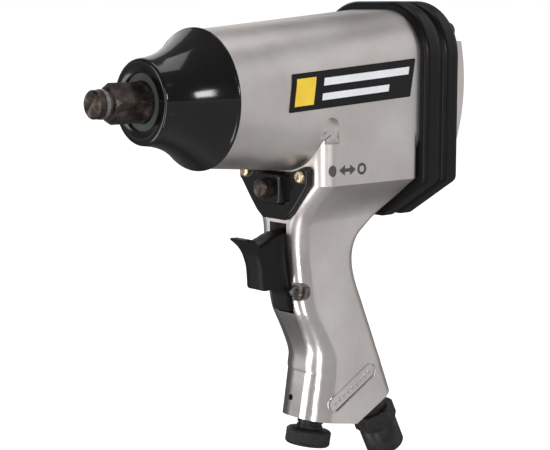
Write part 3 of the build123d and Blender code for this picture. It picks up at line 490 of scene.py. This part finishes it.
def make_trigger(build):
    """The outline in slices across the trigger, drawn in a little at both sides to round its edges."""
    outline = trigger_outline()
    slices = [(-1.0, 0.9), (-0.97, 0.35), (-0.88, 0.0), (-0.4, 0.0), (0.4, 0.0), (0.88, 0.0), (0.97, 0.35),
              (1.0, 0.9)]
    rings = []
    for share, inset in slices:
        ring = []
        for x, z in outline:
            half = PAD_REACH if x < PAD_BACK else TRIGGER_WEB
            point = Vector((x, z))
            inward = TRIGGER_CENTRE - point
            point += inward.normalized() * min(inset, inward.length)
            ring.append(build.verts.new((point.x * MM, share * half * MM, point.y * MM)))
        rings.append(ring)
    for first, second in zip(rings, rings[1:]):
        band(build, first, second)
    build.faces.new(rings[0])
    build.faces.new(rings[-1])


piece("trigger_body", make_trigger, "trigger_group", FINISHES["black_plastic"], ("trigger",))

# ---------------------------------------------------------------- printed marks
left_side = surface("motor_housing", "name_plate")


def on_side(x, z, proud=0.08):
    """The point of the tool's left side at x, z in mm, held a little proud of it."""
    hit, normal, _, _ = left_side.ray_cast(Vector((x * MM, cad_low.y - 0.01, z * MM)), Vector((0, 1, 0)))
    if normal.y > 0:
        normal = -normal
    return hit + normal * proud * MM


def printed(outline_sets, cells=14, rows=8):
    """A maker of thin printed shapes: each a quad of (x, z) corners, divided and laid on the side."""
    def make(build):
        for corners in outline_sets:
            a, b, c, d = (Vector(corner) for corner in corners)
            grid = []
            for i in range(cells + 1):
                s = i / cells
                low = a.lerp(b, s)
                high = d.lerp(c, s)
                grid.append([build.verts.new(on_side(*low.lerp(high, t / rows))) for t in range(rows + 1)])
            for first, second in zip(grid, grid[1:]):
                for k in range(rows):
                    build.faces.new((first[k], second[k], second[k + 1], first[k + 1]))
    return make


# the name plate's corners in x, z, from its lower front corner
PLATE = [Vector((81.5, -5.6)), Vector((154.9, -1.2)), Vector((158.0, 16.3)), Vector((83.8, 11.0))]


def on_plate(u, v):
    """A point of the name plate from its shares along and across."""
    low = PLATE[0].lerp(PLATE[1], u)
    high = PLATE[3].lerp(PLATE[2], u)
    return tuple(low.lerp(high, v))


def bar(u0, u1, v0, v1):
    """A block's corners on the plate."""
    return (on_plate(u0, v0), on_plate(u1, v0), on_plate(u1, v1), on_plate(u0, v1))


piece("plate_accent", printed([bar(0.035, 0.185, 0.14, 0.86)]), "housing", accent)
piece("plate_bars", printed([bar(0.25, 0.955, 0.60, 0.80), bar(0.25, 0.80, 0.22, 0.40)]), "housing",
      print_white)

# a plain two-way arrow for the reverse valve, between a dot and a ring
MARK_Z = -32.6
ARROW_X = 116.2
DOT_X, RING_X = 107.6, 125.0
ROUND_STEPS = 28


def make_arrow(build):
    """Two triangles and the shaft between them."""
    for way in (-1, 1):
        tip = ARROW_X + way * 5.0
        neck = ARROW_X + way * 1.6
        points = [(tip, MARK_Z), (neck, MARK_Z + 2.4), (neck, MARK_Z - 2.4)]
        verts = [build.verts.new(on_side(*point)) for point in points]
        build.faces.new(verts)
    shaft = [(ARROW_X - 1.7, MARK_Z - 0.8), (ARROW_X + 1.7, MARK_Z - 0.8), (ARROW_X + 1.7, MARK_Z + 0.8),
             (ARROW_X - 1.7, MARK_Z + 0.8)]
    build.faces.new([build.verts.new(on_side(*point)) for point in shaft])


piece("valve_arrow", make_arrow, "housing", print_black, smooth=False)


def make_dots(build):
    """The dot and the ring. The dot lies on the cheek's rounded corner, and is narrower to look round there."""
    turns = [math.tau * k / ROUND_STEPS for k in range(ROUND_STEPS)]
    for centre, radii, narrow in ((DOT_X, (0.02, 0.9, 1.8, 2.6), 0.72), (RING_X, (1.5, 2.1, 2.7), 1.0)):
        rings = [[build.verts.new(on_side(centre + narrow * radius * math.cos(angle),
                                          MARK_Z + radius * math.sin(angle)))
                  for angle in turns] for radius in radii]
        for inner, outer in zip(rings, rings[1:]):
            band(build, inner, outer)


piece("valve_marks", make_dots, "housing", print_black, smooth=False)

# plain raised ridges in the grip's long recess, where the real tool has cast lettering
badge_low, badge_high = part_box("grip_badge")
BADGE_WAY = Vector((0.88, 0, 0.475))                   # along the recess
BADGE_ACROSS = Vector((-BADGE_WAY.z, 0, BADGE_WAY.x))
BADGE_MIDDLE = (badge_low + badge_high) / 2
RIDGE_COUNT, RIDGE_PITCH, RIDGE_FIRST = 9, 3.1, -12.4
RIDGE_SIDES = 24


def make_ridges(build):
    """A row of rounded ridges, every other one taller."""
    face_y = badge_low.y
    for number in range(RIDGE_COUNT):
        along = RIDGE_FIRST + RIDGE_PITCH * number
        half_height = 1.55 if number % 2 else 1.15
        rings = []
        for depth, shrink in ((0.3, 0.0), (-0.12, 0.08), (-0.28, 0.3)):
            ring = []
            for side in range(RIDGE_SIDES):
                angle = math.tau * side / RIDGE_SIDES
                u = along + (0.78 - shrink) * math.cos(angle)
                v = (half_height - shrink) * math.sin(angle)
                spot = BADGE_MIDDLE + (BADGE_WAY * u + BADGE_ACROSS * v) * MM
                ring.append(build.verts.new((spot.x, face_y + depth * MM, spot.z)))
            rings.append(ring)
        for first, second in zip(rings, rings[1:]):
            band(build, first, second)
        build.faces.new(rings[-1])


def make_rim(build):
    """A half round rim along the recess's edge, laid on the grip's side."""
    half_length, bend, thick = 13.0, 3.75, 0.42
    end_steps, round_steps = 24, 10
    path = []
    for end in (1, -1):
        for k in range(end_steps + 1):
            angle = math.pi * (k / end_steps - 0.5) + (0 if end > 0 else math.pi)
            path.append((end * half_length + bend * math.cos(angle), bend * math.sin(angle), angle))
    rings = []
    for u, v, angle in path:
        spot = BADGE_MIDDLE + (BADGE_WAY * u + BADGE_ACROSS * v) * MM
        seat = on_side(spot.x / MM, spot.z / MM, 0.0)
        outward = BADGE_WAY * math.cos(angle) + BADGE_ACROSS * math.sin(angle)
        rings.append(wire_ring(build, seat, outward, Vector((0, -1, 0)), thick, round_steps))
    for first, second in zip(rings, rings[1:] + rings[:1]):
        band(build, first, second)


piece("badge_rim", make_rim, "housing", FINISHES["cast_aluminium"])
piece("badge_ridges", make_ridges, "housing", FINISHES["cast_aluminium"])


# ---------------------------------------------------------------- throttle spring
spring_low, spring_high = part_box("throttle_spring")


def make_spring(build):
    """A wire helix along X inside the CAD spring's box."""
    wire, turns, inset = 0.38, 3.79, 0.02
    turn_steps, round_steps = 28, 8
    middle = (spring_low + spring_high) / 2
    reach = (spring_high.z - spring_low.z) / 2 - (wire + inset) * MM
    start = spring_low.x + (wire + inset) * MM
    length = spring_high.x - spring_low.x - 2 * (wire + inset) * MM
    steps = round(turns * turn_steps)
    rings = []
    for k in range(steps + 1):
        angle = math.tau * turns * k / steps
        outward = Vector((0, math.cos(angle), math.sin(angle)))
        spot = Vector((start + length * k / steps, middle.y, middle.z)) + outward * reach
        rings.append(wire_ring(build, spot, outward, Vector((1, 0, 0)), wire, round_steps))
    for first, second in zip(rings, rings[1:]):
        band(build, first, second)
    build.faces.new(rings[0])
    build.faces.new(rings[-1])


spring = piece("throttle_coil", make_spring, "housing", FINISHES["spring_steel"],
               ("throttle_spring",))
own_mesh(spring)

# ---------------------------------------------------------------- floor, light and camera
floor_finish = grained("studio_floor", (0.34, 0.34, 0.34), (0.36, 0.36, 0.36), (0.8, 0.9), grain=30.0, specular=0.0)
floor_finish.shader.inputs["Emission Color"].default_value = (1.0, 1.0, 1.0, 1.0)
floor_finish.shader.inputs["Emission Strength"].default_value = 1.0
FLOOR_HALF = 600.0           # far enough to reach the horizon
FLOOR_GAP = 0.0005
floor_mesh = bpy.data.meshes.new("floor")
floor_build = bmesh.new()
bmesh.ops.create_grid(floor_build, x_segments=2, y_segments=2, size=FLOOR_HALF)
floor_build.to_mesh(floor_mesh)
floor_build.free()
floor = bpy.data.objects.new("floor", floor_mesh)
floor.location = (0, 0, cad_low.z - FLOOR_GAP)
floor_mesh.materials.append(floor_finish.material)
bpy.context.scene.collection.objects.link(floor)
floor.visible_glossy = False
floor.visible_diffuse = False
floor.visible_shadow = False

# grey by height above the horizon: a bright band low down, then a dim room
ROOM = ((0.0, 1.0), (0.016, 1.0), (0.03, 0.20), (0.55, 0.20), (0.85, 0.24), (1.0, 0.30))
HORIZON = -0.001
# grey below it: a pale table in front and to the left, falling off behind the tool
TABLE_WAY = (-0.5, -0.86, 0.0)
TABLE = (("From Min", -0.55), ("From Max", -0.15), ("To Min", 0.12), ("To Max", 0.50))

scene = bpy.context.scene
scene.view_settings.view_transform = "Standard"
world = bpy.data.worlds.new("studio")
world.use_nodes = True
scene.world = world
sky = world.node_tree
direction = sky.nodes.new("ShaderNodeTexCoord")
split = sky.nodes.new("ShaderNodeSeparateXYZ")
above = sky.nodes.new("ShaderNodeMath")
above.operation = "GREATER_THAN"
above.inputs[1].default_value = HORIZON
room = sky.nodes.new("ShaderNodeValToRGB")
choice = sky.nodes.new("ShaderNodeMix")
choice.data_type = "RGBA"
for _ in ROOM[2:]:
    room.color_ramp.elements.new(0.5)
for stop, (place, grey) in zip(room.color_ramp.elements, ROOM):
    stop.position = place
    stop.color = (grey, grey, grey, 1.0)
side = sky.nodes.new("ShaderNodeVectorMath")
side.operation = "DOT_PRODUCT"
side.inputs[1].default_value = TABLE_WAY
table = sky.nodes.new("ShaderNodeMapRange")
for key, value in TABLE:
    table.inputs[key].default_value = value
sky.links.new(direction.outputs["Generated"], side.inputs[0])
sky.links.new(side.outputs["Value"], table.inputs["Value"])
sky.links.new(table.outputs["Result"], choice.inputs["A"])
sky.links.new(direction.outputs["Generated"], split.inputs["Vector"])
sky.links.new(split.outputs["Z"], above.inputs[0])
sky.links.new(split.outputs["Z"], room.inputs["Fac"])
sky.links.new(above.outputs["Value"], choice.inputs["Factor"])
sky.links.new(room.outputs["Color"], choice.inputs["B"])
# the camera itself sees plain white above the floor; the room is only for light and reflections
ray = sky.nodes.new("ShaderNodeLightPath")
plain = sky.nodes.new("ShaderNodeMix")
plain.data_type = "RGBA"
plain.inputs["B"].default_value = (1.0, 1.0, 1.0, 1.0)
sky.links.new(ray.outputs["Is Camera Ray"], plain.inputs["Factor"])
sky.links.new(choice.outputs["Result"], plain.inputs["A"])
sky.links.new(plain.outputs["Result"], sky.nodes["Background"].inputs["Color"])

tool_middle = (cad_low + cad_high) / 2


def softbox(name, azimuth, elevation, distance, size, radiance):
    """A panel lamp, seen from the tool at that azimuth (0 is -Y, 90 is +X) and elevation in degrees."""
    lamp = bpy.data.lights.new(name, "AREA")
    lamp.shape = "RECTANGLE"
    lamp.size, lamp.size_y = size
    lamp.energy = radiance * math.pi * size[0] * size[1]
    turn_a, turn_e = math.radians(azimuth), math.radians(elevation)
    way = Vector((math.sin(turn_a) * math.cos(turn_e), -math.cos(turn_a) * math.cos(turn_e), math.sin(turn_e)))
    thing = bpy.data.objects.new(name, lamp)
    thing.location = tool_middle + way * distance
    thing.rotation_euler = (-way).to_track_quat("-Z", "Y").to_euler()
    thing.visible_camera = False
    scene.collection.objects.link(thing)


softbox("key", -16, 17, 1.1, (0.34, 0.20), 20.0)
softbox("left_strip", -62, -10, 1.2, (0.30, 1.8), 4.6)
softbox("back_strip", -117, -10, 1.2, (0.50, 1.8), 3.4)
softbox("right_fill", 66, 27, 1.4, (1.6, 1.1), 0.86)
softbox("low_fill", 50, -14, 1.4, (1.3, 0.7), 0.25)
softbox("overhead", 110, 76, 1.2, (0.7, 0.5), 2.0)
softbox("rear_fill", 160, 25, 1.5, (1.2, 0.9), 0.8)

CAMERA_PLACE = Vector((-0.3513, -0.5109, 0.0401))
CAMERA_WAY = Vector((0.6557, 0.7411, -0.1444))
LENS, SENSOR = 98.2, 36.0
camera_data = bpy.data.cameras.new("camera")
camera_data.lens = LENS
camera_data.sensor_width = SENSOR
camera_data.sensor_fit = "HORIZONTAL"
camera_data.clip_end = 5 * FLOOR_HALF
camera = bpy.data.objects.new("camera", camera_data)
camera.location = CAMERA_PLACE
camera.rotation_euler = CAMERA_WAY.to_track_quat("-Z", "Y").to_euler()
scene.collection.objects.link(camera)
scene.camera = camera
